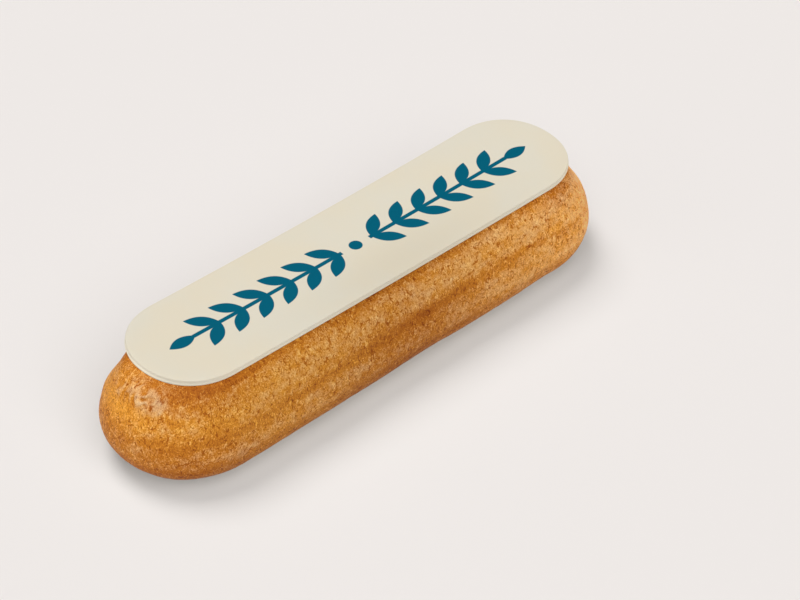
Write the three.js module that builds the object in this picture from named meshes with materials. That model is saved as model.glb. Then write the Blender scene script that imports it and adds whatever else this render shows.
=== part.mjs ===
// Eclair: a baked choux finger with a flat white chocolate plaque laid on its top.
// Millimetres, +Z up. X runs along the finger, and the origin is the middle of its base.
import * as THREE from "three";
import { mergeVertices } from "three/addons/utils/BufferGeometryUtils.js";

// Choux finger
const CHOUX_LENGTH = 146.8;
const CHOUX_WIDTH = 41;
const SEAT_HEIGHT = 26.2; // flattened top, where the plaque lies
const WIDEST_HEIGHT = 10.15;
const SEAT_HALF_WIDTH = 13.4;
const BASE_HALF_WIDTH = 12;
const SHOULDER_POWER = 1.6; // 2 would be an ellipse, 1 a straight slope
const FOOT_POWER = 2;
const END_STRETCH = 1.118; // length of a round end over its half width

// Furrows that the piping nozzle leaves along the sides, by their angle up the half section
// and how far that angle climbs for each millimetre along X
const FURROWS = [
  { angle: THREE.MathUtils.degToRad(28.5), climb: THREE.MathUtils.degToRad(0.21), depth: 0.25 },
  { angle: THREE.MathUtils.degToRad(-16), climb: 0, depth: 0.15 },
];
const FURROW_SPREAD = THREE.MathUtils.degToRad(8);

// Shallow hollows in the shoulder, below the plaque's ends
const HOLLOWS = [
  { centre: new THREE.Vector3(-57.6, 14.9, 24.6), depth: 6.4, spread: 5.9 },
  { centre: new THREE.Vector3(65.8, -4.2, 23.8), depth: 4.9, spread: 6.2 },
];

// Uneven swelling of the baked paste, as seeded waves through the finger
const SWELL_SEED = 7;
const SWELL_WAVES = 9;
const SWELL_HEIGHT = 0.07; // of one wave
const SWELL_SHORTEST = 16;
const SWELL_LONGEST = 44;

// White chocolate plaque
const PLAQUE_LENGTH = 130.6;
const PLAQUE_WIDTH = 30.65; // at its middle
const PLAQUE_END_POWER = 2.15; // 2 would be a round end, more is squarer
const PLAQUE_BOW = 0.75; // how far its ends lie behind its middle
const PLAQUE_FLARE = 0.25; // how much its half width grows towards its ends
const PLAQUE_THICKNESS = 1.3;
const PLAQUE_ROUNDING = 0.35; // of its upper and lower edge
const PLAQUE_CENTRE_X = 1.9;
const PLAQUE_CENTRE_Y = 0.85;
const PLAQUE_TURN = THREE.MathUtils.degToRad(-0.8); // laid by hand, slightly askew

// Surfaces
const CRUST_COLOUR = 0xc48a48;
const CRUST_ROUGHNESS = 0.6;
const CHOCOLATE_COLOUR = 0xe2d9c5;
const CHOCOLATE_ROUGHNESS = 0.35;

// Facets
const STRAIGHT_STEPS = 36; // along each long side
const ROUND_STEPS = 22; // round each end
const FOOT_STEPS = 12; // from the base up to the widest line
const SHOULDER_STEPS = 20; // from the widest line up to the seat
const PLAQUE_STRAIGHT_STEPS = 8; // along each long side
const PLAQUE_ROUND_STEPS = 28; // round each end
const PLAQUE_EDGE_STEPS = 3;
const WELD_DISTANCE = 1e-4;

const COLUMNS = 2 * (STRAIGHT_STEPS + ROUND_STEPS);
const PLAQUE_COLUMNS = 2 * (PLAQUE_STRAIGHT_STEPS + PLAQUE_ROUND_STEPS);
const ROWS = FOOT_STEPS + SHOULDER_STEPS + 2; // and one each across the flat base and seat
const HALF_WIDTH = CHOUX_WIDTH / 2;
const AXIS_HALF_LENGTH = CHOUX_LENGTH / 2 - END_STRETCH * HALF_WIDTH;
const QUARTER_TURN = Math.PI / 2;
const FULL_TURN = 2 * Math.PI;

// Linear congruential generator for repeatable draws
const DRAW_MULTIPLIER = 1664525;
const DRAW_INCREMENT = 1013904223;
const DRAW_MODULUS = 2 ** 32;

// A repeatable stream of numbers from 0 to 1.
function seededRandom(seed) {
  let state = seed;
  return () => {
    state = (state * DRAW_MULTIPLIER + DRAW_INCREMENT) % DRAW_MODULUS;
    return state / DRAW_MODULUS;
  };
}

// Waves of random length, heading and phase, whose sum makes the finger slightly lumpy.
function swellWaves() {
  const random = seededRandom(SWELL_SEED);
  return Array.from({ length: SWELL_WAVES }, () => {
    const wavelength = THREE.MathUtils.lerp(SWELL_SHORTEST, SWELL_LONGEST, random());
    const heading = FULL_TURN * random();
    const climb = 2 * random() - 1;
    const level = Math.sqrt(1 - climb * climb);
    const direction = new THREE.Vector3(level * Math.cos(heading), level * Math.sin(heading), climb);
    return {
      vector: direction.multiplyScalar(FULL_TURN / wavelength),
      phase: FULL_TURN * random(),
    };
  });
}

// Where one column of a long plan stands: its place along the axis from -1 to 1 and its outward direction.
// The columns run along the near side, round the right end, back along the far side and round the left.
function planColumn(column, straightSteps, roundSteps) {
  const halfLoop = straightSteps + roundSteps;
  const facing = Math.floor(column / halfLoop) % 2 === 0 ? 1 : -1;
  const step = column % halfLoop;
  const along = Math.min(step / straightSteps, 1);
  const turned = Math.max(step - straightSteps, 0) / roundSteps;
  const angle = Math.PI * turned - QUARTER_TURN;
  return {
    along: facing * (2 * along - 1),
    outX: facing * Math.cos(angle),
    outY: facing * Math.sin(angle),
  };
}

// One row of the half section: its angle, reach from the axis and height above the base.
function sectionRow(row) {
  if (row === 0) return { angle: -QUARTER_TURN, reach: 0, height: 0 };
  if (row === ROWS) return { angle: QUARTER_TURN, reach: 0, height: SEAT_HEIGHT };
  const step = row - 1 - FOOT_STEPS;
  const onFoot = step < 0;
  const angle = (QUARTER_TURN * step) / (onFoot ? FOOT_STEPS : SHOULDER_STEPS);
  const power = 2 / (onFoot ? FOOT_POWER : SHOULDER_POWER);
  const flatHalfWidth = onFoot ? BASE_HALF_WIDTH : SEAT_HALF_WIDTH;
  const rise = onFoot ? WIDEST_HEIGHT : SEAT_HEIGHT - WIDEST_HEIGHT;
  const climb = Math.sign(step) * Math.abs(Math.sin(angle)) ** power;
  return {
    angle,
    reach: flatHalfWidth + (HALF_WIDTH - flatHalfWidth) * Math.cos(angle) ** power,
    height: WIDEST_HEIGHT + rise * climb,
  };
}

// How far the crust stands out from the plain form, none on the flat base and seat.
// The furrows fade out round the ends, where the outward direction turns away from Y.
function crustRelief(point, angle, outY, waves) {
  const furrows = FURROWS.map(({ angle: start, climb, depth }) => {
    const above = angle - start - climb * point.x;
    return outY * outY * depth * Math.exp(-((above / FURROW_SPREAD) ** 2));
  });
  const hollows = HOLLOWS.map(
    ({ centre, depth, spread }) => depth * Math.exp(-point.distanceToSquared(centre) / (spread * spread)),
  );
  const swells = waves.map(({ vector, phase }) => SWELL_HEIGHT * Math.cos(vector.dot(point) + phase));
  const sum = (values) => values.reduce((total, value) => total + value, 0);
  return Math.cos(angle) * (sum(swells) - sum(furrows) - sum(hollows));
}

// Welds a wrapped grid into one closed skin and drops the faces that the welding shuts.
function weldedSkin(geometry) {
  geometry.deleteAttribute("normal");
  geometry.deleteAttribute("uv");
  const skin = mergeVertices(geometry, WELD_DISTANCE);
  const corners = [];
  for (let i = 0; i < skin.index.count; i += 3) {
    const triangle = [skin.index.getX(i), skin.index.getX(i + 1), skin.index.getX(i + 2)];
    if (new Set(triangle).size === triangle.length) corners.push(...triangle);
  }
  skin.setIndex(corners);
  skin.computeVertexNormals();
  return skin;
}

// The choux finger: a flat grid wrapped round the plan outline, from the base's middle up to the seat's.
function chouxGeometry() {
  const waves = swellWaves();
  const geometry = new THREE.PlaneGeometry(1, 1, COLUMNS, ROWS);
  const position = geometry.getAttribute("position");
  const point = new THREE.Vector3();
  for (let row = 0; row <= ROWS; row++) {
    const { angle, reach, height } = sectionRow(ROWS - row);
    for (let column = 0; column <= COLUMNS; column++) {
      const { along, outX, outY } = planColumn(column, STRAIGHT_STEPS, ROUND_STEPS);
      const axisX = along * AXIS_HALF_LENGTH;
      const place = (outward, up) => point.set(axisX + END_STRETCH * outward * outX, outward * outY, up);
      place(reach, height);
      const relief = crustRelief(point, angle, outY, waves);
      place(reach + relief * Math.cos(angle), height + relief * Math.sin(angle));
      position.setXYZ(row * (COLUMNS + 1) + column, point.x, point.y, point.z);
    }
  }
  return weldedSkin(geometry);
}

// One corner of the plaque's outline: nearly round ends, and long sides that bow and flare slightly.
function plaqueCorner(column) {
  const { along, outX, outY } = planColumn(column, PLAQUE_STRAIGHT_STEPS, PLAQUE_ROUND_STEPS);
  const radius = PLAQUE_WIDTH / 2;
  const fuller = (share) => Math.sign(share) * Math.abs(share) ** (2 / PLAQUE_END_POWER);
  const side = fuller(outY);
  const x = along * (PLAQUE_LENGTH / 2 - radius) + radius * fuller(outX);
  const shift = (PLAQUE_BOW + PLAQUE_FLARE * side) * ((2 * x) / PLAQUE_LENGTH) ** 2;
  return new THREE.Vector2(x, radius * side + shift);
}

// The plaque: a long slab with softly rounded edges, its underside at z = 0.
function plaqueGeometry() {
  const corners = Array.from({ length: PLAQUE_COLUMNS }, (_, column) => plaqueCorner(column));
  const geometry = new THREE.ExtrudeGeometry(new THREE.Shape(corners), {
    depth: PLAQUE_THICKNESS - 2 * PLAQUE_ROUNDING,
    bevelThickness: PLAQUE_ROUNDING,
    bevelSize: PLAQUE_ROUNDING,
    bevelOffset: -PLAQUE_ROUNDING,
    bevelSegments: PLAQUE_EDGE_STEPS,
  });
  return geometry.translate(0, 0, PLAQUE_ROUNDING);
}

const choux = new THREE.Mesh(
  chouxGeometry(),
  new THREE.MeshStandardMaterial({ color: CRUST_COLOUR, roughness: CRUST_ROUGHNESS, metalness: 0 }),
);
choux.name = "choux_finger";

const plaque = new THREE.Mesh(
  plaqueGeometry(),
  new THREE.MeshStandardMaterial({ color: CHOCOLATE_COLOUR, roughness: CHOCOLATE_ROUGHNESS, metalness: 0 }),
);
plaque.name = "white_chocolate_plaque";
plaque.position.set(PLAQUE_CENTRE_X, PLAQUE_CENTRE_Y, SEAT_HEIGHT);
plaque.rotation.z = PLAQUE_TURN;

const eclair = new THREE.Group();
eclair.add(choux, plaque);

export default eclair;
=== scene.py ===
"""Looks of an eclair: a baked choux finger and the white chocolate plaque that lies on it.

Sizes are in millimetres in the shapes' own fields, and meshes are built in metres.
"""

from __future__ import annotations

import itertools
import logging
import math
from dataclasses import dataclass, field
from enum import Enum
from typing import Any, Iterable, Union

import bmesh
import bpy
import numpy as np
from mathutils import Matrix, Vector


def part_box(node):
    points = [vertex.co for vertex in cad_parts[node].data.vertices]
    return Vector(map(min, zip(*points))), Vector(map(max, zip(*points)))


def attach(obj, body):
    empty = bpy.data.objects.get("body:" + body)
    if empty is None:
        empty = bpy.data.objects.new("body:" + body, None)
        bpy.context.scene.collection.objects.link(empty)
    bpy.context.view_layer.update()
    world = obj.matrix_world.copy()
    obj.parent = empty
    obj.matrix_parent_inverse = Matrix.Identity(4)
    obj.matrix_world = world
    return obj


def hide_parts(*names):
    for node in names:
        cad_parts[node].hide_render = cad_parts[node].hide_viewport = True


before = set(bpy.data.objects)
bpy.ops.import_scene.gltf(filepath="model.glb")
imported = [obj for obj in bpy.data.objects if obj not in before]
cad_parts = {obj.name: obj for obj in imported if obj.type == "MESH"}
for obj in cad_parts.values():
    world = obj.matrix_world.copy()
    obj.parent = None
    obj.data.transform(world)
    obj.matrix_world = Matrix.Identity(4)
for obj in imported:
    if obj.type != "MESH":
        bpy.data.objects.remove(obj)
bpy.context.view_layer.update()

MM = 0.001
QUARTER_TURN = math.pi / 2
FULL_TURN = 2 * math.pi
WELD_DISTANCE = 1e-7
SHORTEST_NORMAL = 1e-12
DRAW_MULTIPLIER = 1664525
DRAW_INCREMENT = 1013904223
DRAW_MODULUS = 2 ** 32
LOG = logging.getLogger("eclair")

Colour = tuple[float, float, float]
Operand = Union["Wire", float, int]


class Node(Enum):
    """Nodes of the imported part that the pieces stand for."""

    CHOUX = "choux_finger"
    PLAQUE = "white_chocolate_plaque"


class Slot(Enum):
    """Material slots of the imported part."""

    CRUST = "choux_crust"
    CHOCOLATE = "white_chocolate"


class Field(Enum):
    """Values that a mesh carries at its points for its finish."""

    BROWNING = "browning"
    BLOOM = "bloom"
    # Painted light and shade: a factor on the colour, lighter where more light falls and darker in shade.
    PAINTED_LIGHT = "painted_light"
    CRINKLE = "crinkle"
    RELIEF = "relief"
    GRAIN = "grain"
    PLAN = "plan"


def linear(*screen: int) -> Colour:
    """Undo the screen's transfer curve for a colour.

    Args:
        screen: Red, green and blue from 0 to 255.

    Returns:
        The linear colour, each part from 0 to 1.
    """
    shares = [value / 255 for value in screen]
    return tuple(share / 12.92 if share <= 0.04045 else ((share + 0.055) / 1.055) ** 2.4
                 for share in shares)


class Wire:
    """A shader socket that takes part in Python expressions on values."""

    def __init__(self, graph: ShaderGraph, socket: bpy.types.NodeSocket) -> None:
        """Hold a socket and the graph that it belongs to."""
        self.graph = graph
        self.socket = socket

    def __add__(self, other: Operand) -> Wire:
        """Add two values."""
        return self.graph.maths("ADD", self, other)

    def __radd__(self, other: Operand) -> Wire:
        """Add two values."""
        return self.graph.maths("ADD", other, self)

    def __sub__(self, other: Operand) -> Wire:
        """Take one value from another."""
        return self.graph.maths("SUBTRACT", self, other)

    def __rsub__(self, other: Operand) -> Wire:
        """Take one value from another."""
        return self.graph.maths("SUBTRACT", other, self)

    def __mul__(self, other: Operand) -> Wire:
        """Multiply two values."""
        return self.graph.maths("MULTIPLY", self, other)

    def __rmul__(self, other: Operand) -> Wire:
        """Multiply two values."""
        return self.graph.maths("MULTIPLY", other, self)

    def __truediv__(self, other: Operand) -> Wire:
        """Divide one value by another."""
        return self.graph.maths("DIVIDE", self, other)

    def __pow__(self, other: Operand) -> Wire:
        """Raise one value to the power of another."""
        return self.graph.maths("POWER", self, other)

    def __abs__(self) -> Wire:
        """Drop the sign of a value."""
        return self.graph.maths("ABSOLUTE", self)

    def smaller(self, other: Operand) -> Wire:
        """Keep the smaller of two values."""
        return self.graph.maths("MINIMUM", self, other)

    def larger(self, other: Operand) -> Wire:
        """Keep the larger of two values."""
        return self.graph.maths("MAXIMUM", self, other)

    def step(self, start: float, end: float) -> Wire:
        """Rise smoothly from 0 at start to 1 at end, or fall where end is lower.

        Args:
            start: Value that gives 0.
            end: Value that gives 1.

        Returns:
            The eased value from 0 to 1.
        """
        settings = {"interpolation_type": "SMOOTHSTEP"}
        low, high = min(start, end), max(start, end)
        inputs = {"Value": self, "From Min": low, "From Max": high}
        eased = self.graph.node("ShaderNodeMapRange", settings, inputs)
        return eased if start < end else 1 - eased


class ShaderGraph:
    """The node tree of one material, written through expressions."""

    def __init__(self, name: str) -> None:
        """Start a material with a Principled shader.

        Args:
            name: Name of the material.
        """
        self.material = bpy.data.materials.new(name)
        self.material.use_nodes = True
        self.tree = self.material.node_tree
        self.shader = self.tree.nodes["Principled BSDF"]

    def node(self, kind: str, settings: dict[str, Any] | None = None,
             inputs: dict[str | int, Any] | None = None, output: str | int = 0) -> Wire:
        """Add one node: its settings first, then the values or links of its sockets.

        Args:
            kind: Blender's name for the node type.
            settings: Properties of the node; stops are a ramp's places and colours.
            inputs: Socket name or number to a value or a wire.
            output: Name or number of the output that is wanted.

        Returns:
            The wanted output.
        """
        made = self.tree.nodes.new(kind)
        for key, value in (settings or {}).items():
            if key == "stops":
                self.set_stops(made.color_ramp, value)
            else:
                setattr(made, key, value)
        for key, value in (inputs or {}).items():
            self.feed(made.inputs[key], value)
        return Wire(self, made.outputs[output])

    def feed(self, socket: bpy.types.NodeSocket, value: Any) -> None:
        """Link a wire to a socket, or set the socket's own value.

        Args:
            socket: The socket to feed.
            value: A wire, or a value of the socket's own kind.
        """
        if isinstance(value, Wire):
            self.tree.links.new(value.socket, socket)
        else:
            socket.default_value = value

    @staticmethod
    def set_stops(ramp: bpy.types.ColorRamp, stops: Iterable[tuple[float, Colour]]) -> None:
        """Give a ramp its stops.

        Args:
            ramp: The ramp, with Blender's two first stops.
            stops: Place from 0 to 1 and linear colour of each stop.
        """
        stops = list(stops)
        while len(ramp.elements) < len(stops):
            ramp.elements.new(1.0)
        for element, (place, colour) in zip(ramp.elements, stops):
            element.position = place
            element.color = (*colour, 1.0)

    def maths(self, operation: str, *values: Operand) -> Wire:
        """Add a Math node."""
        return self.node("ShaderNodeMath", {"operation": operation}, dict(enumerate(values)))

    def blend(self, factor: Operand, first: Any, second: Any) -> Wire:
        """Mix two colours.

        Args:
            factor: Share of the second colour.
            first: Colour, with alpha, or wire.
            second: Colour, with alpha, or wire.

        Returns:
            The mixed colour.
        """
        inputs = {0: factor, 6: first, 7: second}
        return self.node("ShaderNodeMix", {"data_type": "RGBA"}, inputs, 2)

    def scaled(self, colour: Wire, factor: Operand) -> Wire:
        """Multiply a colour by a value."""
        return self.node("ShaderNodeVectorMath", {"operation": "SCALE"}, {0: colour, "Scale": factor})

    def carried(self, name: Field, output: str = "Fac") -> Wire:
        """Read a number that the mesh carries, or a vector from the output Vector."""
        return self.node("ShaderNodeAttribute", {"attribute_name": name.value}, output=output)

    def noise(self, place: Wire, size: float, detail: float = 2.0, distortion: float = 0.0) -> Wire:
        """Add noise whose patches are about a given size.

        Args:
            place: Vector in the unit that size is in.
            size: Size of a patch.
            detail: Finer layers of noise.
            distortion: How far the patches are pulled about.

        Returns:
            Noise from 0 to 1, about 0.5 on average.
        """
        inputs = {"Vector": place, "Scale": 1 / size, "Detail": detail, "Distortion": distortion}
        return self.node("ShaderNodeTexNoise", {}, inputs)

    def warped(self, place: Wire, size: float, reach: float) -> Wire:
        """Pull places about by noise.

        Args:
            place: Vector in the unit that size and reach are in.
            size: Size of a patch of the noise.
            reach: How far the places are pulled.

        Returns:
            The pulled places.
        """
        inputs = {"Vector": place, "Scale": 1 / size, "Detail": 1.0}
        pull = self.node("ShaderNodeTexNoise", {}, inputs, "Color")
        settings = {"operation": "MULTIPLY_ADD"}
        return self.node("ShaderNodeVectorMath", settings, {0: pull, 1: (reach,) * 3, 2: place})

    def set(self, **sockets: Any) -> None:
        """Set or link the shader's sockets, an underscore standing for a space."""
        for name, value in sockets.items():
            self.feed(self.shader.inputs[name.replace("_", " ")], value)


class GradientNoise:
    """Seeded smooth noise over space, from about -1 to 1."""

    TABLE = 256
    GAIN = 1.6

    def __init__(self, seed: int) -> None:
        """Draw the noise's directions.

        Args:
            seed: Seed of the draw.
        """
        draw = np.random.default_rng(seed)
        self.order = draw.permutation(self.TABLE)
        directions = draw.normal(size=(self.TABLE, 3))
        self.directions = directions / np.linalg.norm(directions, axis=1, keepdims=True)

    def at(self, points: np.ndarray, size: float) -> np.ndarray:
        """Read the noise.

        Args:
            points: Points, the last axis holding x, y and z.
            size: Size of a patch, in the points' unit.

        Returns:
            One value for each point.
        """
        scaled = points / size
        cell = np.floor(scaled).astype(int)
        part = scaled - cell
        ease = part ** 3 * (part * (part * 6 - 15) + 10)
        total = np.zeros(points.shape[:-1])
        for corner in itertools.product((0, 1), repeat=3):
            place = (cell + corner) % self.TABLE
            pick = self.order[(self.order[(self.order[place[..., 0]] + place[..., 1]) % self.TABLE]
                               + place[..., 2]) % self.TABLE]
            slope = np.sum(self.directions[pick] * (part - corner), axis=-1)
            weight = np.prod(np.where(np.array(corner) == 1, ease, 1 - ease), axis=-1)
            total += weight * slope
        return self.GAIN * total


@dataclass(frozen=True)
class RoundEndedPlan:
    """A plan with straight sides and round ends, as columns round an axis along X.

    The columns run along the near side, round the right end, back along the far side and round the left.
    """

    axis_half_length: float
    end_stretch: float
    straight_steps: int
    round_steps: int
    end_power: float = 2.0

    def columns(self) -> tuple[np.ndarray, np.ndarray, np.ndarray]:
        """Lay out the columns.

        Returns:
            Each column's place on the axis, and its outward direction along X and Y.
        """
        half_loop = self.straight_steps + self.round_steps
        step = np.arange(half_loop)
        along = np.minimum(step / self.straight_steps, 1)
        angle = math.pi * np.maximum(step - self.straight_steps, 0) / self.round_steps - QUARTER_TURN
        axis = (2 * along - 1) * self.axis_half_length
        out_x, out_y = (np.sign(part) * np.abs(part) ** (2 / self.end_power)
                        for part in (np.cos(angle), np.sin(angle)))
        facing = np.repeat((1, -1), half_loop)
        return tuple(facing * np.tile(part, 2) for part in (axis, out_x, out_y))

    def place(self, reach: np.ndarray, height: np.ndarray) -> np.ndarray:
        """Set points out from the axis.

        Args:
            reach: Distance from the axis, with a last axis of one or of a value for each column.
            height: Height above the base, of the same shape.

        Returns:
            Points in rows and columns.
        """
        axis, out_x, out_y = self.columns()
        x = axis + self.end_stretch * reach * out_x
        y = reach * out_y
        return np.stack((x, y, np.broadcast_to(height, x.shape)), axis=-1)


def turned_normals(points: np.ndarray) -> np.ndarray:
    """Work out the outward normals of a grid that closes round its columns.

    Args:
        points: Points in rows from the base up, and columns anticlockwise.

    Returns:
        A unit vector for each point.
    """
    round_way = np.roll(points, -1, axis=1) - np.roll(points, 1, axis=1)
    upward = np.gradient(points, axis=0)
    normal = np.cross(round_way, upward)
    return normal / np.maximum(np.linalg.norm(normal, axis=-1, keepdims=True), SHORTEST_NORMAL)


def ease(values: np.ndarray, start: float, end: float) -> np.ndarray:
    """Rise smoothly from 0 where a value is at start to 1 where it is at end.

    Args:
        values: Values to ease.
        start: Value that gives 0.
        end: Value that gives 1.

    Returns:
        Eased values from 0 to 1.
    """
    share = np.clip((values - start) / (end - start), 0, 1)
    return share * share * (3 - 2 * share)


def hump(values: np.ndarray, middle: float, spread: float) -> np.ndarray:
    """Rise to 1 where a value is at the middle and fall to 0 on both sides."""
    return np.exp(-((values - middle) / spread) ** 2)


def closed_skin(name: str, points: np.ndarray, fields: dict[Field, np.ndarray]) -> bpy.types.Object:
    """Make a smooth closed mesh from a grid whose first and last rows lie on its axis.

    Args:
        name: Name of the piece.
        points: Points in millimetres, in rows from the base up and columns anticlockwise.
        fields: Values for each point, numbers or vectors.

    Returns:
        The new object.
    """
    rows, columns = points.shape[:2]
    index = np.arange(rows * columns).reshape(rows, columns)
    after = np.roll(index, -1, axis=1)
    faces = np.stack((index[:-1], after[:-1], after[1:], index[1:]), axis=-1).reshape(-1, 4)
    mesh = bpy.data.meshes.new(name)
    mesh.from_pydata((points.reshape(-1, 3) * MM).tolist(), [], faces.tolist())
    for key, values in fields.items():
        vector = values.ndim == 3
        layer = mesh.attributes.new(key.value, "FLOAT_VECTOR" if vector else "FLOAT", "POINT")
        layer.data.foreach_set("vector" if vector else "value", values.astype(np.float32).ravel())
    shape = bmesh.new()
    shape.from_mesh(mesh)
    bmesh.ops.remove_doubles(shape, verts=shape.verts, dist=WELD_DISTANCE)
    shape.to_mesh(mesh)
    shape.free()
    mesh.polygons.foreach_set("use_smooth", np.ones(len(mesh.polygons), dtype=bool))
    piece = bpy.data.objects.new(name, mesh)
    bpy.context.scene.collection.objects.link(piece)
    return piece


@dataclass(frozen=True)
class CrustFinish:
    """Dry baked choux crust: paste that loses light as it browns, finely cracked, pitted and flecked.

    Sizes, gaps, spacings and depths of its patterns are in millimetres. A pit's radius and slope are
    shares of the spacing.
    """

    pale: Colour = (0.908, 0.446, 0.0612)
    loss: Colour = (0.72, 1.2, 1.9)
    bloom: Colour = (0.80, 0.67, 0.43)
    darkest: float = 2.4
    ramp_stops: int = 14
    blotches: float = 0.25
    mottle: float = 0.2
    pebbles: float = 0.4
    dust: float = 1.2
    # Cracks, pits and pebble gaps are darker where the bump sinks them, partly painted shade; ridges and
    # raised skin are paler, painted highlights.
    cracks: float = 0.75
    ridges: float = 0.5
    pits: float = 0.32
    relief_painted_light: float = 0.25
    dryness: float = 0.32
    dry_patches: float = 0.4
    bump: float = 0.5
    roughness: float = 0.55
    shine: float = 0.12
    blotch_size: float = 2.8
    blotch_squeeze: float = 0.35
    mottle_size: float = 1.8
    dust_size: float = 0.32
    crack_size: float = 1.0
    crack_gap: float = 1.2
    ridge_size: float = 0.85
    ridge_gap: float = 1.4
    stroke_width: float = 0.07
    pebble_size: float = 0.45
    pebble_mean: float = 0.45
    pit_spacing: float = 1.2
    pit_radius: float = 0.21
    pit_slope: float = 0.1
    bump_depth: float = 0.16

    def stops(self) -> list[tuple[float, Colour]]:
        """Work out the colours of paste that is baked more and more.

        Returns:
            Place from 0 to 1 and linear colour of each stop.
        """
        shares = [i / (self.ramp_stops - 1) for i in range(self.ramp_stops)]
        return [(share, tuple(pale * math.exp(-loss * self.darkest * share)
                              for pale, loss in zip(self.pale, self.loss))) for share in shares]

    def material(self) -> bpy.types.Material:
        """Build the crust's nodes.

        Returns:
            The material.
        """
        graph = ShaderGraph("choux_crust")
        place = graph.node("ShaderNodeTexCoord", output="Object")
        inputs = {0: place, 1: (1 / MM,) * 3}
        place = graph.node("ShaderNodeVectorMath", {"operation": "MULTIPLY"}, inputs)
        grain = graph.carried(Field.GRAIN, "Vector")
        numbers = (Field.BROWNING, Field.BLOOM, Field.CRINKLE, Field.RELIEF, Field.PAINTED_LIGHT)
        browning, bloom, crinkle, relief, painted_light = (graph.carried(name) for name in numbers)

        inputs = {0: place, 1: (self.blotch_squeeze, 1, 1)}
        drawn_out = graph.node("ShaderNodeVectorMath", {"operation": "MULTIPLY"}, inputs)
        blotches = graph.noise(drawn_out, self.blotch_size) - 0.5
        mottle = graph.noise(place, self.mottle_size) - 0.5
        dust = graph.noise(place, self.dust_size, detail=1.0) - 0.5
        cracks = self.squiggles(graph.noise(grain, self.crack_size, detail=0.0, distortion=0.6),
                                graph.noise(place, self.crack_gap, detail=0.0).step(0.44, 0.56))
        ridges = self.squiggles(graph.noise(grain, self.ridge_size, detail=0.0, distortion=0.8),
                                graph.noise(place, self.ridge_gap, detail=0.0).step(0.43, 0.53))
        inputs = {"Vector": graph.warped(grain, 0.9, 0.3), "Scale": 1 / self.pebble_size,
                  "Randomness": 1.0}
        pebbles = graph.node("ShaderNodeTexVoronoi", {}, inputs, "Distance") - self.pebble_mean
        pits = self.scattered_pits(graph, place)

        # Where the bump sinks the skin, in cracks, pits and the gaps between pebbles, the colour is darker:
        # their own darker colour with painted shade in these hollows. Where it raises the skin, in ridge
        # strokes and raised relief, the colour is paler: painted highlights.
        marks_with_painted_light = self.pebbles * pebbles + self.dust * dust + self.cracks * cracks + self.pits * pits
        marks_with_painted_light = marks_with_painted_light - self.ridges * ridges - self.relief_painted_light * relief
        tone = browning + marks_with_painted_light + self.blotches * blotches + self.mottle * mottle
        baked = graph.node("ShaderNodeValToRGB", {"stops": self.stops()}, {"Fac": tone / self.darkest})
        # The bloom follows the same marks, so it carries their painted shade and highlights too.
        dry = bloom - self.dryness * marks_with_painted_light - self.dry_patches * (mottle + blotches)
        colour = graph.blend(dry, baked, (*self.bloom, 1))
        # Painted light and shade carried by the mesh: lighter ends, darker middle.
        colour = graph.scaled(colour, painted_light)
        height = 0.2 * dust + 0.4 * ridges - 0.5 * pebbles - 0.5 * cracks - 0.7 * pits
        inputs = {"Height": height, "Distance": self.bump_depth * MM, "Strength": self.bump}
        bump = graph.node("ShaderNodeBump", {}, inputs)
        graph.set(Base_Color=colour, Normal=bump, Specular_IOR_Level=self.shine,
                  Roughness=self.roughness + 0.2 * mottle - 0.12 * crinkle)
        return graph.material

    def squiggles(self, wave: Wire, gate: Wire) -> Wire:
        """Draw short winding strokes where a wave crosses its middle.

        Args:
            wave: Noise from 0 to 1.
            gate: 1 where lines show and 0 in the gaps between strokes.

        Returns:
            1 in a stroke and 0 outside.
        """
        return abs(wave - 0.5).step(self.stroke_width, 0.0) * gate

    def scattered_pits(self, graph: ShaderGraph, place: Wire) -> Wire:
        """Scatter small ragged pits of many sizes over the crust.

        Args:
            graph: The crust's graph.
            place: Place on the crust, in millimetres.

        Returns:
            1 in a pit and 0 outside.
        """
        inputs = {"Vector": graph.warped(place, 0.6, 0.7), "Scale": 1 / self.pit_spacing,
                  "Randomness": 1.0}
        near = graph.node("ShaderNodeTexVoronoi", {}, inputs, "Distance")
        chance = Wire(graph, near.socket.node.outputs["Color"])
        lot = graph.node("ShaderNodeSeparateColor", {}, {0: chance}, 0)
        return (near - self.pit_radius * lot).step(0.0, -self.pit_slope)


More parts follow.
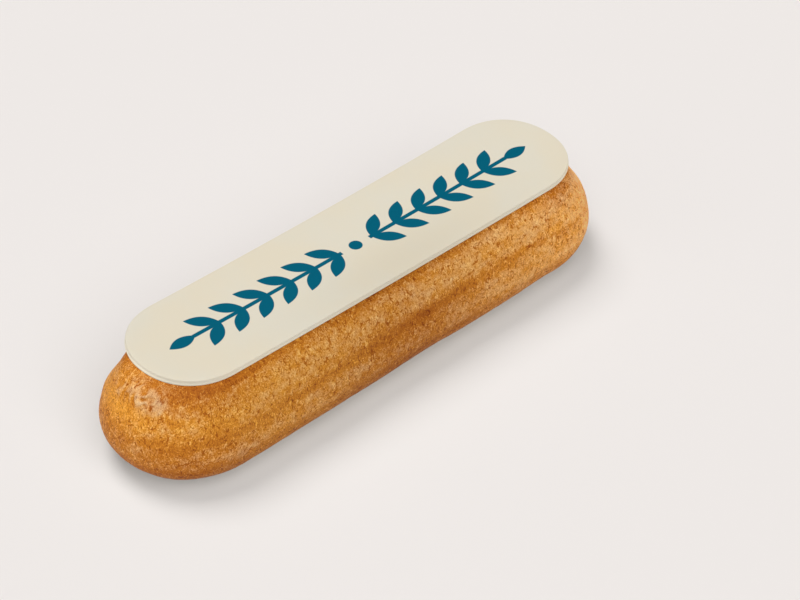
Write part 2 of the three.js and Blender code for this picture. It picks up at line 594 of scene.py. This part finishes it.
@dataclass(frozen=True)
class ChocolateFinish:
    """Satin ivory white chocolate with a leafy branch printed on its face."""

    ivory: Colour = linear(224, 217, 199)
    warm: Colour = linear(226, 216, 194)
    ink: Colour = (0.0, 0.112, 0.182)
    roughness: float = 0.4
    shine: float = 0.06
    dot_radius: float = 1.7
    branch_start: float = 5.0
    leaf_pairs: int = 6
    leaf_pitch: float = 7.4
    leaf_length: float = 8.6
    leaf_half_width: float = 1.75
    leaf_angle: float = math.radians(42)
    tip_length: float = 7.6
    stem_width: float = 1.2
    edge_blur: float = 0.09
    tone_size: float = 22.0
    fine_size: float = 1.4
    wave_size: float = 9.0
    bump_depth: float = 0.06

    def material(self) -> bpy.types.Material:
        """Build the chocolate's nodes.

        Returns:
            The material.
        """
        graph = ShaderGraph("white_chocolate")
        plan = graph.carried(Field.PLAN, "Vector")
        soft = graph.noise(plan, self.tone_size)
        fine = graph.noise(plan, self.fine_size, detail=3.0) - 0.5
        chocolate = graph.blend(soft.step(0.35, 0.65), (*self.ivory, 1), (*self.warm, 1))
        ink = self.branch(graph, plan)
        # Painted light and shade carried by the mesh: a shaded near middle of the face and a lit edge band.
        chocolate = graph.scaled(chocolate, graph.carried(Field.PAINTED_LIGHT))
        colour = graph.blend(ink, chocolate, (*self.ink, 1))
        height = graph.noise(plan, self.wave_size) + 0.15 * fine
        inputs = {"Height": height, "Distance": self.bump_depth * MM, "Strength": 0.5}
        bump = graph.node("ShaderNodeBump", {}, inputs)
        graph.set(Base_Color=colour, Roughness=self.roughness + 0.1 * fine, Normal=bump,
                  Specular_IOR_Level=self.shine, Subsurface_Weight=0.05, Subsurface_Scale=1.2 * MM,
                  Subsurface_Radius=(1.0, 0.8, 0.5))
        return graph.material

    def branch(self, graph: ShaderGraph, plan: Wire) -> Wire:
        """Draw a dot and two leafy branches that grow from it towards both ends.

        Args:
            graph: The chocolate's graph.
            plan: Place on the plaque in millimetres, its third part 1 on the face.

        Returns:
            1 on the ink and 0 outside.
        """
        split = graph.node("ShaderNodeSeparateXYZ", {}, {0: plan}, 0)
        along, across, face = (Wire(graph, split.socket.node.outputs[i]) for i in range(3))
        side = abs(across)
        dot = self.dot_radius - (along * along + across * across) ** 0.5
        out = abs(along) - self.branch_start
        stem_length = self.leaf_pairs * self.leaf_pitch
        stem = self.stem_width / 2 - side.larger(0 - out).larger(out - stem_length)
        pair = graph.maths("FLOOR", out / self.leaf_pitch).larger(0).smaller(self.leaf_pairs - 1)
        pairs = [self.leaf(out - self.leaf_pitch * number, side)
                 for number in (pair, (pair - 1).larger(0))]
        tip = self.leaf(out - stem_length, side, angle=0.0, length=self.tip_length)
        drawn = dot.larger(stem).larger(tip).larger(pairs[0]).larger(pairs[1])
        return drawn.step(-self.edge_blur, self.edge_blur) * face.step(0.4, 0.6)

    def leaf(self, out: Wire, side: Wire, angle: float | None = None,
             length: float | None = None) -> Wire:
        """Draw one leaf that starts on the stem.

        Args:
            out: Distance along the stem from the leaf's start.
            side: Distance from the stem.
            angle: Angle between leaf and stem, or None for a side leaf.
            length: Length of the leaf, or None for a side leaf.

        Returns:
            Depth inside the leaf's edge, below zero outside.
        """
        angle = self.leaf_angle if angle is None else angle
        length = self.leaf_length if length is None else length
        forward = out * math.cos(angle) + side * math.sin(angle)
        sideways = side * math.cos(angle) - out * math.sin(angle)
        middle = forward / (length / 2) - 1
        return self.leaf_half_width * (1 - middle * middle) - abs(sideways)


@dataclass(frozen=True)
class FloorFinish:
    """Plain matte pale floor."""

    colour: Colour = linear(236, 231, 228)

    def material(self) -> bpy.types.Material:
        """Build the floor's nodes.

        Returns:
            The material.
        """
        graph = ShaderGraph("pale_floor")
        graph.set(Base_Color=(*self.colour, 1), Roughness=0.95, Specular_IOR_Level=0.0)
        return graph.material


@dataclass(frozen=True)
class SideLine:
    """A line along the sides, by its angle up the half section, its climb along X and its spread.

    Past a place right of the middle it droops, ever faster. It is narrower near the ends.
    """

    angle: float
    climb: float
    spread: float
    droop: float
    narrow_left: float

    DROOP_START = 25.0
    NARROW_RIGHT = 0.38
    RIGHT_PART = (25, 45)
    LEFT_PART = (-16, -32)

    def share(self, points: np.ndarray, angle: np.ndarray) -> np.ndarray:
        """Say how close places are to the line.

        Args:
            points: Points on the plain form.
            angle: Angle up the section at each point.

        Returns:
            1 on the line, falling to 0 beside it.
        """
        x = points[..., 0]
        droop = self.droop * np.maximum(x - self.DROOP_START, 0) ** 2
        narrower = (self.NARROW_RIGHT * ease(x, *self.RIGHT_PART)
                    + self.narrow_left * ease(x, *self.LEFT_PART))
        return hump(angle - self.climb * x + droop, self.angle, self.spread * (1 - narrower))


@dataclass(frozen=True)
class Furrow(SideLine):
    """A furrow along the sides."""

    depth: float


@dataclass(frozen=True)
class SoftSpot:
    """A soft spot on the crust: a shallow hollow in it, dry bloom or painted sheen on it, or other browning
    of it.
    """

    centre: tuple[float, float, float]
    spread: tuple[float, float, float]
    most: float

    def at(self, points: np.ndarray) -> np.ndarray:
        """Say how deep, blooming or brown the spot is at each point."""
        away = (points - np.array(self.centre)) / np.array(self.spread)
        return self.most * np.exp(-np.sum(away ** 2, axis=-1))


@dataclass(frozen=True)
class Baking:
    """How brown the crust is, how much light and shade is painted on it, and how much dry bloom pales it,
    over the finger.

    In its sums, places along the finger are in millimetres and angles up its section in degrees.
    """

    middle: float = 0.415
    across: float = 0.11
    right: float = -0.02
    left: float = -0.05
    top: float = 0.16
    top_left: float = 0.25
    top_right: float = 0.36
    low: float = 0.08
    low_middle: float = 0.22
    low_left: float = 0.25
    rim: float = 0.28
    streak: float = 0.12
    streak_middle: float = 0.31
    streak_right: float = 0.26
    streak_left: float = 0.14
    streak_fade: float = 0.4
    # Painted shade along the plaque's edge, more at the left end, and painted light just below the right
    # end's overhang.
    contact_shade: float = 0.24
    contact_shade_left: float = 0.08
    contact_light_right: float = -0.45
    uneven: float = 0.05
    bloom: float = 0.086
    bloom_right: float = 0.05
    bloom_left: float = -0.07
    bloom_streak: float = -0.26
    bloom_streak_fade: float = 0.55
    least_bloom: float = -0.22
    bloom_contact_shade: float = -0.1
    bloom_high: float = 0.022
    bloom_top_right: float = -0.04
    bloom_low_middle: float = -0.07
    bloom_top: float = -0.055
    bloom_rim: float = -0.11
    # Pale dry skin on the left end's folds, with painted highlights on them.
    bloom_and_sheen_crinkled: float = 0.27
    bloom_and_sheen_patches: tuple[SoftSpot, ...] = (
        SoftSpot((-53.0, -19.5, 9.5), (10.0, 6.0, 2.6), 0.1),
        # These four spots round the crinkled patch hold pale dry skin with painted sheen.
        SoftSpot((-66.9, -5.4, 23.0), (3.4, 4.2, 2.6), 0.15),
        SoftSpot((-66.5, 3.0, 24.4), (3.0, 5.0, 2.0), 0.11),
        SoftSpot((-66.6, -7.3, 23.9), (2.4, 2.4, 1.7), 0.24),
        SoftSpot((-66.0, -1.0, 25.8), (2.4, 4.5, 1.2), 0.1),
        SoftSpot((-71.0, 5.0, 19.5), (3.0, 9.0, 4.0), -0.1))
    # Paler skin with painted sheen on the left end's shoulder.
    pale_skin_and_sheen_left: SoftSpot = SoftSpot((-66.5, 3.0, 25.5), (3.5, 7.0, 2.4), -0.3)
    # Painted light on the right end, on both ends, on the far left and on the right tip.
    painted_light_right: float = 0.0018
    painted_light_ends: float = 0.000061
    painted_light_far_left: float = 0.08
    painted_light_tip: float = 0.1

    def browning(self, points: np.ndarray, angle: np.ndarray, streak: np.ndarray,
                 noise: GradientNoise) -> np.ndarray:
        """Say how far the paste is browned, with painted shade along the plaque's edge, painted light just
        below its right end, and paler skin with painted sheen on the left end's shoulder.

        Args:
            points: Points on the formed finger.
            angle: Angle up the section at each point.
            streak: 1 along the brown line of the sides.
            noise: Noise that makes the baking uneven.

        Returns:
            Browning of each point, from 0 for pale paste.
        """
        x = points[..., 0]
        high = np.degrees(angle)
        low = ease(high, 44, 24)
        total = self.middle + self.across * hump(x, 4, 13) + self.right * ease(x, 5, 45)
        total += self.left * hump(x, -40, 16) * ease(high, 48, 36)
        total += self.top * ease(high, 58, 68)
        total += self.top_left * ease(high, 42, 60) * ease(x, -35, -58)
        total += self.top_right * ease(high, 46, 56) * hump(x, 57, 8)
        total += low * (self.low * ease(x, 45, 20) + self.low_middle * hump(x, -1, 22))
        total += self.low_left * ease(high, 36, 10) * ease(x, -42, -62)
        total += self.rim * ease(high, -4, -24)
        streak_right = self.streak_right * ease(x, 10, 40) * (1 - self.streak_fade * ease(x, 36, 48))
        total += streak * (self.streak + self.streak_middle * hump(x, 5, 14)
                           + streak_right + self.streak_left * hump(x, -36, 12))
        # Painted shade close to the plaque's edge, and painted light just below it at the right end.
        left_plaque_edge_shade = self.contact_shade_left * ease(x, -46, -54) * ease(x, -68, -60)
        total += (self.contact_shade * ease(x, -70, -58) + left_plaque_edge_shade) * self.plaque_edge_shade(x, high)
        total += self.contact_light_right * ease(high, 62, 74) * ease(x, 56, 64)
        # Paler skin with painted sheen on the left end's shoulder.
        total += self.pale_skin_and_sheen_left.at(points)
        return total + self.uneven * (noise.at(points, 20.0) + noise.at(points, 9.0))

    def blooming(self, points: np.ndarray, angle: np.ndarray, streak: np.ndarray,
                 crinkle: np.ndarray) -> np.ndarray:
        """Say how much dry bloom lies on the crust, with painted sheen on the left end's folds and less
        bloom in the painted shade by the plaque's edge.

        Args:
            points: Points on the formed finger.
            angle: Angle up the section at each point.
            streak: 1 along the brown line of the sides.
            crinkle: 1 on the folds of the crinkled patch.

        Returns:
            Share of bloom at each point.
        """
        x = points[..., 0]
        high = np.degrees(angle)
        total = self.bloom + self.bloom_right * ease(x, 5, 45) + self.bloom_left * ease(x, -20, -52)
        total += self.bloom_low_middle * ease(high, 44, 24) * hump(x, 0, 22)
        total += self.bloom_top * ease(high, 60, 70) + self.bloom_rim * ease(high, 0, -22)
        # Less bloom in the painted shade close to the plaque's edge.
        total += self.bloom_contact_shade * self.plaque_edge_shade(x, high) * ease(x, -68, -56)
        total += self.bloom_high * ease(high, 32, 40) * ease(x, -34, 0)
        total += self.bloom_top_right * ease(high, 46, 56) * hump(x, 57, 8)
        total += self.bloom_streak * streak * (1 - self.bloom_streak_fade * ease(x, 34, 47))
        total = np.clip(total, self.least_bloom, 1)
        # The left end's folds and spots add painted highlights and sheen to the bloom.
        return total + self.bloom_and_sheen_crinkled * crinkle + sum(patch.at(points) for patch in self.bloom_and_sheen_patches)

    @staticmethod
    def plaque_edge_shade(x: np.ndarray, high: np.ndarray) -> np.ndarray:
        """Say where the painted shade close to the plaque's edge is, which the right end lacks."""
        return ease(high, 67, 75) * ease(x, 58, 46)

    def painted_light(self, points: np.ndarray) -> np.ndarray:
        """Say how much light is painted on the crust: its ends are painted lighter than its shaded middle.

        Args:
            points: Points on the formed finger.

        Returns:
            Factor on the crust's colour at each point.
        """
        x, y = points[..., 0], points[..., 1]
        far_left = self.painted_light_far_left * ease(y, -14, 6) * ease(x, -58, -70)
        tip = self.painted_light_tip * ease(x, 57, 67)
        return np.exp(self.painted_light_right * x + self.painted_light_ends * x ** 2 + (far_left + tip))


@dataclass
class ChouxFinger:
    """The baked finger, in millimetres: plain form, furrows, hollows, swells, wrinkles and browning."""

    length: float = 146.8
    width: float = 41.0
    widest_height: float = 10.15
    seat_half_width: float = 13.4
    base_half_width: float = 12.0
    shoulder_power: float = 1.6
    foot_power: float = 2.0
    end_stretch: float = 1.118
    furrows: tuple[Furrow, ...] = (
        Furrow(math.radians(28.5), math.radians(0.21), math.radians(8), 0.0, 0.0, 0.25),
        Furrow(math.radians(-16), 0.0, math.radians(8), 0.0, 0.0, 0.15))
    streak: SideLine = SideLine(math.radians(27.5), math.radians(0.1), math.radians(5.6),
                                math.radians(0.0085), 0.3)
    hollows: tuple[SoftSpot, ...] = (
        SoftSpot((-57.6, 14.9, 24.6), (5.9, 5.9, 5.9), 6.4),
        SoftSpot((65.8, -4.2, 23.8), (6.2, 6.2, 6.2), 4.9))
    swell_seed: int = 7
    swell_waves: int = 9
    swell_height: float = 0.07
    swell_shortest: float = 16.0
    swell_longest: float = 44.0
    straight_steps: int = 286
    round_steps: int = 194
    foot_steps: int = 40
    shoulder_steps: int = 54
    grain_stretch: float = 1.45
    crinkle_centre: tuple[float, float, float] = (-66.8, -0.8, 23.4)
    crinkle_spread: tuple[float, float, float] = (4.2, 7.0, 3.4)
    fold_height: float = 0.45
    fold_floor: float = 0.25
    lump_height: float = 0.10
    small_lump_height: float = 0.05
    worm_height: float = 0.045
    fine_height: float = 0.02
    baking: Baking = Baking()
    noise: GradientNoise = field(default_factory=lambda: GradientNoise(31))

    def __post_init__(self) -> None:
        """Take the seat's height from the frame and lay out the plan."""
        self.seat_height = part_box(Node.CHOUX.value)[1].z / MM
        axis = self.length / 2 - self.end_stretch * self.width / 2
        self.plan = RoundEndedPlan(axis, self.end_stretch, self.straight_steps, self.round_steps)

    def section(self) -> tuple[np.ndarray, np.ndarray, np.ndarray]:
        """Draw the half section from the base's middle up to the seat's.

        Returns:
            Angle, reach from the axis and height of each row, each as one column.
        """
        step = np.concatenate((np.arange(-self.foot_steps, 0) / self.foot_steps,
                               np.arange(self.shoulder_steps + 1) / self.shoulder_steps))
        angle = QUARTER_TURN * step
        foot = step < 0
        power = 2 / np.where(foot, self.foot_power, self.shoulder_power)
        flat = np.where(foot, self.base_half_width, self.seat_half_width)
        rise = np.where(foot, self.widest_height, self.seat_height - self.widest_height)
        cosine = np.clip(np.cos(angle), 0, 1)
        reach = flat + (self.width / 2 - flat) * cosine ** power
        height = self.widest_height + rise * np.sign(step) * np.abs(np.sin(angle)) ** power
        rows = ((-QUARTER_TURN, angle, QUARTER_TURN), (0, reach, 0), (0, height, self.seat_height))
        return tuple(np.hstack(row)[:, None] for row in rows)

    def swells(self, points: np.ndarray) -> np.ndarray:
        """Add up the slow seeded waves of the risen paste.

        Args:
            points: Points on the plain form.

        Returns:
            How far each point swells out.
        """
        state = self.swell_seed

        def draw() -> float:
            """Give the next number of a linear congruential stream.

            Returns:
                A number from 0 to 1.
            """
            nonlocal state
            state = (state * DRAW_MULTIPLIER + DRAW_INCREMENT) % DRAW_MODULUS
            return state / DRAW_MODULUS

        total = np.zeros(points.shape[:-1])
        for _ in range(self.swell_waves):
            wavelength = self.swell_shortest + (self.swell_longest - self.swell_shortest) * draw()
            heading = FULL_TURN * draw()
            climb = 2 * draw() - 1
            level = math.sqrt(1 - climb * climb)
            direction = np.array((level * math.cos(heading), level * math.sin(heading), climb))
            total += np.cos(points @ direction * FULL_TURN / wavelength + FULL_TURN * draw())
        return self.swell_height * total

    def build(self) -> bpy.types.Object:
        """Make the finger's mesh with the values that its finish reads.

        Returns:
            The new object.
        """
        angle, reach, height = self.section()
        plain = self.plan.place(reach, height)
        angle = np.broadcast_to(angle, plain.shape[:-1])
        free = np.cos(angle)
        along_side = self.plan.columns()[2] ** 2
        cut_in = sum(furrow.depth * along_side * furrow.share(plain, angle)
                     for furrow in self.furrows) + sum(hollow.at(plain) for hollow in self.hollows)
        bulge = free * (self.swells(plain) - cut_in)
        formed = self.plan.place(reach + bulge * np.cos(angle), height + bulge * np.sin(angle))
        normal = turned_normals(formed)
        grain_place = self.grain_places(formed)
        crinkle = self.crinkled_patch(formed)
        wrinkle = self.wrinkles(formed, grain_place, crinkle)
        edge_fade = np.clip(2.2 * free, 0, 1)
        points = formed + normal * (edge_fade * wrinkle)[..., None]
        points[..., 2] = np.clip(points[..., 2], 0, self.seat_height)
        streak = along_side ** 0.4 * self.streak.share(plain, angle)
        streak = streak * (0.9 + 0.3 * self.noise.at(formed, 7.0))
        fields = {Field.BROWNING: self.baking.browning(formed, angle, streak, self.noise),
                  Field.BLOOM: self.baking.blooming(formed, angle, streak, crinkle),
                  Field.PAINTED_LIGHT: self.baking.painted_light(formed),
                  Field.CRINKLE: crinkle, Field.RELIEF: wrinkle, Field.GRAIN: grain_place}
        return closed_skin("choux_crust", points, fields)

    def grain_places(self, points: np.ndarray) -> np.ndarray:
        """Lay out places whose patterns are drawn out up the sides, with no seam.

        Args:
            points: Points on the finger, in rows and columns.

        Returns:
            A vector for each point, in millimetres.
        """
        widest = points[1 + self.foot_steps]
        stride = np.linalg.norm(np.roll(widest, -1, axis=0) - widest, axis=-1)
        around = np.concatenate(((0.0,), np.cumsum(stride)[:-1]))
        loop = stride.sum()
        climb = np.linalg.norm(np.diff(points, axis=0), axis=-1).cumsum(axis=0)
        climb = np.concatenate((np.zeros((1, points.shape[1])), climb))
        turn = np.broadcast_to(FULL_TURN * around / loop, climb.shape)
        radius = loop / FULL_TURN
        return np.stack((radius * np.cos(turn), radius * np.sin(turn), climb / self.grain_stretch), axis=-1)

    def crinkled_patch(self, points: np.ndarray) -> np.ndarray:
        """Draw the folds of the crinkled patch on the shoulder of the left end.

        Args:
            points: Points on the formed finger.

        Returns:
            0 outside the patch, 1 on a ridge and below 0 between ridges.
        """
        apart = (points - np.array(self.crinkle_centre)) / np.array(self.crinkle_spread)
        away = np.sum(apart ** 2, axis=-1) + 0.5 * self.noise.at(points, 4.0)
        pulled = points + 0.8 * self.noise.at(points, 2.6)[..., None]
        ridge = np.abs(self.noise.at(pulled * np.array((0.5, 1, 0.5)) + 5.0, 1.8))
        folds = ease(ridge, 0.4, 0.0) * (1 + 0.5 * self.noise.at(points, 3.1))
        inside = ease(away, 1.2, 0.3) * (folds - self.fold_floor)
        below = ease(points[..., 2], 24.0, 22.6) * ease(points[..., 1], 1.5, -2.5)
        border = ease(np.abs(away - 1.0), 0.4, 0.0) * below * (0.6 + 0.7 * self.noise.at(points, 2.2))
        return np.clip(np.maximum(inside, border - self.fold_floor), -self.fold_floor, 1)

    def wrinkles(self, points: np.ndarray, grain_place: np.ndarray, crinkle: np.ndarray) -> np.ndarray:
        """Add up lumps and fine wormy wrinkles of the dried skin.

        Args:
            points: Points on the formed finger.
            grain_place: Places drawn out up the sides.
            crinkle: 1 on the folds of the crinkled patch.

        Returns:
            Height of the skin above the formed finger.
        """
        lumps = self.lump_height * self.noise.at(points, 8.0)
        lumps = lumps + self.small_lump_height * self.noise.at(points, 3.6)
        pulled = grain_place + 0.7 * np.stack(
            [self.noise.at(grain_place + shift, 2.1) for shift in (11.0, 47.0, 83.0)], axis=-1)
        worms = self.worm_height * (0.5 - np.abs(self.noise.at(pulled, 1.25)))
        fine = self.fine_height * self.noise.at(points, 0.8)
        return lumps + worms + fine + self.fold_height * crinkle


@dataclass
class ChocolatePlaque:
    """The flat plaque, in millimetres, slightly bowed and laid slightly askew on the finger.

    A fine step runs round its edge, between a lip below and the face above. At the left end the lip
    stands out, less towards the far side, and the face's edge is softer.
    """

    length: float = 130.6
    width: float = 30.65
    end_power: float = 2.15
    bow: float = 0.75
    flare: float = 0.25
    centre: tuple[float, float] = (1.9, 0.85)
    turn: float = math.radians(-0.8)
    lower_rounding: float = 0.15
    lip_height: float = 0.46
    lip_rounding: float = 0.24
    left_lip: float = 0.3
    step_inset: float = 0.12
    upper_rounding: float = 0.14
    left_rounding: float = 0.25
    # Painted shade: the face is darker towards the near side of its middle.
    shade: float = 0.09
    # Painted light on the edge band: lighter all round, lighter still at the right end and darker at the
    # near part of the left end.
    edge_light: float = 0.1
    edge_light_near_left: float = -0.22
    edge_light_right: float = 0.24
    edge_reach: tuple[float, float] = (0.02, 0.25)
    lip_fade: tuple[float, float] = (0.75, 0.0)
    near_left_fade: tuple[float, float] = (0.1, -0.65)
    right_fade: tuple[float, float] = (0.05, 0.5)
    face_depth: float = 0.2
    sag: float = 0.05
    straight_steps: int = 150
    round_steps: int = 72
    rounding_steps: int = 6
    face_steps: int = 10
    noise: GradientNoise = field(default_factory=lambda: GradientNoise(57))

    def __post_init__(self) -> None:
        """Take the plaque's heights from the frame and lay out the plan."""
        low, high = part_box(Node.PLAQUE.value)
        self.underside = low.z / MM
        self.face_height = high.z / MM
        axis = (self.length - self.width) / 2
        self.plan = RoundEndedPlan(axis, 1.0, self.straight_steps, self.round_steps, self.end_power)

    def ends(self) -> tuple[np.ndarray, np.ndarray, np.ndarray]:
        """Say which columns belong to the lip of the left end, to its near part and to the right end.

        Returns:
            Three shares from 0 to 1 for each column.
        """
        _, out_x, out_y = self.plan.columns()
        left = np.clip(-out_x, 0, 1)
        lip = left * ease(out_y, *self.lip_fade)
        near_left = left * ease(out_y, *self.near_left_fade)
        return lip, near_left, ease(out_x, *self.right_fade)

    def section(self) -> tuple[np.ndarray, np.ndarray]:
        """Draw the half section from the underside's middle, round the edge, to the face's middle.

        Returns:
            Reach from the axis and height, each in rows and columns.
        """
        sine = np.sin(np.linspace(0, QUARTER_TURN, self.rounding_steps + 1))[:, None]
        cosine = sine[::-1]
        inward = np.linspace(1, 0, self.face_steps + 1)[1:, None]
        left = np.clip(-self.plan.columns()[1], 0, 1)
        rim = self.width / 2 + self.left_lip * self.ends()[0]
        lower = self.lower_rounding
        lip = self.lip_rounding
        upper = self.upper_rounding + self.left_rounding * left
        face = self.width / 2 - self.step_inset - upper
        lip_top = self.underside + self.lip_height
        reach = np.concatenate((0 * rim[None], rim - lower + lower * sine, rim - lip + lip * cosine,
                                face + upper * cosine, face * inward))
        rows = ([[self.underside]], self.underside + lower - lower * cosine, lip_top - lip + lip * sine,
                self.face_height - upper + upper * sine, self.face_height + 0 * inward)
        height = np.concatenate([np.broadcast_to(row, (len(row), len(left))) for row in rows])
        return reach, height

    def build(self) -> bpy.types.Object:
        """Make the plaque's mesh with the places that its finish reads.

        Returns:
            The new object.
        """
        reach, height = self.section()
        points = self.plan.place(reach, height)
        face = height > self.face_height - self.face_depth
        plan = np.stack((points[..., 0], points[..., 1], face.astype(float)), axis=-1)
        # Painted shade towards the near side of the face's middle.
        painted_light = 1 - self.shade * hump(plan[..., 0], 5, 32) * ease(plan[..., 1], 3, -12)
        _, near_left, right = self.ends()
        # Painted light on the band below the face's edge.
        edge = ease(self.face_height - height, *self.edge_reach)
        edge_painted_light = self.edge_light + self.edge_light_near_left * near_left + self.edge_light_right * right
        painted_light = painted_light * (1 + edge * edge_painted_light)
        points[..., 2] -= self.sag * np.clip(self.noise.at(points, 24.0), 0, 1) * face
        cosine, sine = math.cos(self.turn), math.sin(self.turn)
        x = points[..., 0].copy()
        shift = self.bow + self.flare * points[..., 1] / (self.width / 2)
        y = points[..., 1] + shift * (2 * x / self.length) ** 2
        points[..., 0] = self.centre[0] + cosine * x - sine * y
        points[..., 1] = self.centre[1] + sine * x + cosine * y
        return closed_skin("white_chocolate", points, {Field.PLAN: plan, Field.PAINTED_LIGHT: painted_light})


@dataclass(frozen=True)
class SoftSun:
    """A broad soft light from far away, by where it stands round and above the part."""

    name: str
    heading: float
    height: float
    spread: float
    strength: float

    def hang(self) -> None:
        """Add the light to the scene."""
        lamp = bpy.data.lights.new(self.name, "SUN")
        lamp.energy = self.strength
        lamp.angle = self.spread
        level = math.cos(self.height)
        toward = Vector((level * math.cos(self.heading), level * math.sin(self.heading),
                         math.sin(self.height)))
        hung = bpy.data.objects.new(self.name, lamp)
        hung.rotation_euler = toward.to_track_quat("Z", "Y").to_euler()
        bpy.context.scene.collection.objects.link(hung)


@dataclass
class Studio:
    """Floor, soft light and the camera, in millimetres."""

    floor_half_side: float = 3000.0
    target: tuple[float, float, float] = (1.9, 1.3, 27.5)
    azimuth: float = math.radians(-43.25)
    elevation: float = math.radians(40.14)
    distance: float = 785.0
    pan_right: float = 10.91
    pan_down: float = 13.33
    lens: float = 147.78
    sensor: float = 36.0
    suns: tuple[SoftSun, ...] = (
        SoftSun("key", math.radians(92), math.radians(66), math.radians(32), 1.33),
        SoftSun("fill", math.radians(-112), math.radians(56), math.radians(64), 1.83),
        SoftSun("side", math.radians(170), math.radians(40), math.radians(56), 0.35))
    sky_strength: float = 0.08

    def build(self, crust: bpy.types.Object) -> None:
        """Make the floor, the light and the camera.

        Args:
            crust: The piece whose orange bounce is kept off the pale floor, so that its shade is neutral.
        """
        crust.visible_diffuse = False
        self.floor()
        self.light()
        self.camera()

    def floor(self) -> None:
        """Lay the pale floor."""
        side = self.floor_half_side * MM
        mesh = bpy.data.meshes.new("floor")
        corners = [(-side, -side, 0), (side, -side, 0), (side, side, 0), (-side, side, 0)]
        mesh.from_pydata(corners, [], [(0, 1, 2, 3)])
        mesh.materials.append(FloorFinish().material())
        floor = bpy.data.objects.new("floor", mesh)
        bpy.context.scene.collection.objects.link(floor)

    def light(self) -> None:
        """Hang the soft lights in an even pale room."""
        for sun in self.suns:
            sun.hang()
        world = bpy.data.worlds.new("room")
        world.use_nodes = True
        sky = world.node_tree.nodes["Background"].inputs
        sky["Color"].default_value = (1, 1, 1, 1)
        sky["Strength"].default_value = self.sky_strength
        bpy.context.scene.world = world
        bpy.context.scene.view_settings.view_transform = "Standard"

    def camera(self) -> None:
        """Set the camera at the photograph's viewing angle."""
        target = Vector(self.target)
        level = math.cos(self.elevation)
        back = Vector((math.sin(self.azimuth) * level, -math.cos(self.azimuth) * level,
                       math.sin(self.elevation)))
        right = Vector((math.cos(self.azimuth), math.sin(self.azimuth), 0))
        up = back.cross(right)
        place = (target + self.distance * back + self.pan_right * right - self.pan_down * up) * MM
        lens = bpy.data.cameras.new("camera")
        lens.lens = self.lens
        lens.sensor_width = self.sensor
        lens.sensor_fit = "HORIZONTAL"
        lens.clip_start = 0.01
        camera = bpy.data.objects.new("camera", lens)
        camera.matrix_world = Matrix.Translation(place) @ Matrix((right, up, back)).transposed().to_4x4()
        bpy.context.scene.collection.objects.link(camera)
        bpy.context.scene.camera = camera


def dress(piece: bpy.types.Object, material: bpy.types.Material, node: Node) -> None:
    """Give a piece its finish and its place in the part.

    Args:
        piece: The piece.
        material: Its finish.
        node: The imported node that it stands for.
    """
    piece.data.materials.append(material)
    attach(piece, "root")
    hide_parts(node.value)
    LOG.info("%s: %d faces", piece.name, len(piece.data.polygons))


def main() -> None:
    """Build the eclair and its studio."""
    logging.basicConfig(level=logging.INFO, format="%(message)s")
    crust = ChouxFinger().build()
    dress(crust, CrustFinish().material(), Node.CHOUX)
    dress(ChocolatePlaque().build(), ChocolateFinish().material(), Node.PLAQUE)
    Studio().build(crust)


if __name__ == "__main__":
    main()
